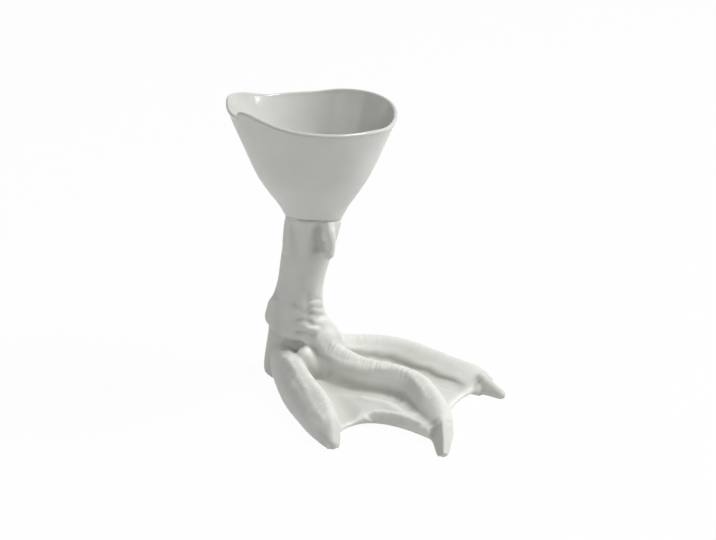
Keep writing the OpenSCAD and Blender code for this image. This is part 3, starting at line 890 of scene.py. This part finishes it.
def scute_tree():
    """Presses the gaps between a toe's scutes, which lie one after another along its crest."""
    group, t, given = geometry_tree("scutes", [
        ("Spacing", "Float", 1.6), ("Depth", "Float", 0.09), ("Unevenness", "Float", 1.3),
        ("Seed", "Float", 5.0), ("Material", "Material", None)])
    skin = t.attribute("skin", "FLOAT_VECTOR")
    on_skin = t.add("ShaderNodeSeparateXYZ", {0: skin}).outputs
    sway = t.play(skin, given["Seed"], 0.35, 1.0)
    bow = t.times(t.times(on_skin[1], on_skin[1]), 0.03)
    step = t.over(t.plus(on_skin[0], bow), given["Spacing"])
    step = t.times_plus(t.minus(sway, 0.5), t.times(given["Unevenness"], 4.0), step)
    plate = t.math("ABSOLUTE", t.sin(t.times(step, math.pi)))
    gap = t.minus(1.0, t.math("POWER", plate, 0.6))
    worn = t.play(skin, given["Seed"], 0.22, 2.0)
    gap = t.times(gap, t.smooth(worn, 0.42, 0.62))
    depth = t.times(t.times(gap, given["Depth"]), t.attribute("scaled"))
    normal = t.add("GeometryNodeInputNormal").outputs[0]
    inward = t.add("ShaderNodeVectorMath", {0: normal, "Scale": t.times(depth, -MM)},
                   operation="SCALE").outputs[0]
    pressed = t.add("GeometryNodeSetPosition", {"Geometry": given["Geometry"], "Offset": inward}).outputs[0]
    close_tree(t, pressed)
    return group


def make_foot():
    clay = model_foot()
    skin = np.zeros((len(clay.places), 3))
    scaled, painted_claw_shade, far, surest = np.zeros((4, len(clay.places)))
    for k, toe in enumerate(TOES):
        f = toe_frame(clay, toe)
        better = f["sure"] > surest
        surest = np.maximum(surest, f["sure"])
        apart = np.full(len(skin), SKINS_APART * k)
        skin[better] = np.stack([f["along"], f["across"], apart], axis=1)[better]
        top = f["sure"] * within(f["height"], 1.15, 0.1) * past(f["share"], 0.03, 0.05)
        top *= within(f["share"], 0.84, 0.04) * within(np.abs(f["angle"] - 80), 60, 25)
        scaled = np.maximum(scaled, top * SCUTE_DEPTHS[k])
        # The claws get painted shade.
        painted_claw_shade = np.maximum(painted_claw_shade, f["claw"])
        far = np.maximum(far, f["sure"] * past(f["share"], 0.5, 0.35))
    hollow, painted_light = clay.relief()
    # Claws and the far halves of the toes get less painted light.
    painted_light *= (1 - painted_claw_shade) * (1 - 0.75 * far)
    piece = new_piece("modelled_foot", clay.places * MM, clay.faces,
                      {"hollow": hollow, "painted_light": painted_light, "painted_claw_shade": painted_claw_shade, "scaled": scaled})
    layer = piece.data.attributes.new("skin", "FLOAT_VECTOR", "POINT")
    layer.data.foreach_set("vector", skin.astype(np.float32).ravel())
    return piece


foot_piece = make_foot()
run_tree(foot_piece, scute_tree(), {"Material": modelled_biscuit})
hand_over(foot_piece, "webbed_foot")


# Floor, lamps and white surroundings

ROOM_LIGHT = 0.16
FLOOR_HALF = 3.0
FLOOR_WHITE = 0.97
AIM = (0, -15, 50)


def seen_white(t):
    """One for rays from the camera and in shine or glass, which see a white background."""
    path = t.add("ShaderNodeLightPath").outputs
    return t.math("MAXIMUM", t.math("MAXIMUM", path["Is Camera Ray"], path["Is Glossy Ray"]),
                  path["Is Transmission Ray"])


def white_surroundings():
    world = bpy.data.worlds.new("studio")
    bpy.context.scene.world = world
    world.use_nodes = True
    t = Tree(world.node_tree)
    strength = t.times_plus(seen_white(t), 1 - ROOM_LIGHT, ROOM_LIGHT)
    background = world.node_tree.nodes["Background"]
    t.tree.links.new(strength, background.inputs["Strength"])
    background.inputs["Color"].default_value = (1, 1, 1, 1)


def white_floor():
    far = FLOOR_HALF
    corners = [(-far, -far, 0), (far, -far, 0), (far, far, 0), (-far, far, 0)]
    floor = new_piece("floor", corners, [(0, 1, 2, 3)])
    material, t, shader = new_material("white paper")
    place = t.add("ShaderNodeTexCoord").outputs["Object"]
    tone = blend_colours(t, noise(t, place, 6.0), *PAPER)
    t.tree.links.new(tone, shader.inputs["Base Color"])
    set_shader(shader, Roughness=0.9, Specular_IOR_Level=0.1)
    light = t.add("ShaderNodeEmission", {"Color": (1, 1, 1, 1), "Strength": 1.0}).outputs[0]
    lit = t.times(seen_white(t), FLOOR_WHITE)
    mix = t.add("ShaderNodeMixShader", {0: lit, 1: shader.outputs[0], 2: light})
    t.tree.links.new(mix.outputs[0], material.node_tree.nodes["Material Output"].inputs["Surface"])
    floor.data.materials.append(material)


def soft_lamp(name, place, target, width, height, power):
    data = bpy.data.lights.new(name, "AREA")
    data.shape = "RECTANGLE"
    data.size, data.size_y, data.energy = width * MM, height * MM, power
    lamp = bpy.data.objects.new(name, data)
    lamp.location = Vector(place) * MM
    lamp.rotation_euler = facing(place, target)
    bpy.context.scene.collection.objects.link(lamp)


white_surroundings()
white_floor()
soft_lamp("right softbox", (410, -396, 760), AIM, 320, 320, 6.9)
soft_lamp("right window", (572, -682, 333), AIM, 450, 60, 0.95)
soft_lamp("left reflector", (-866, 216, 345), AIM, 720, 720, 1.75)
bpy.context.scene.view_settings.view_transform = "Standard"
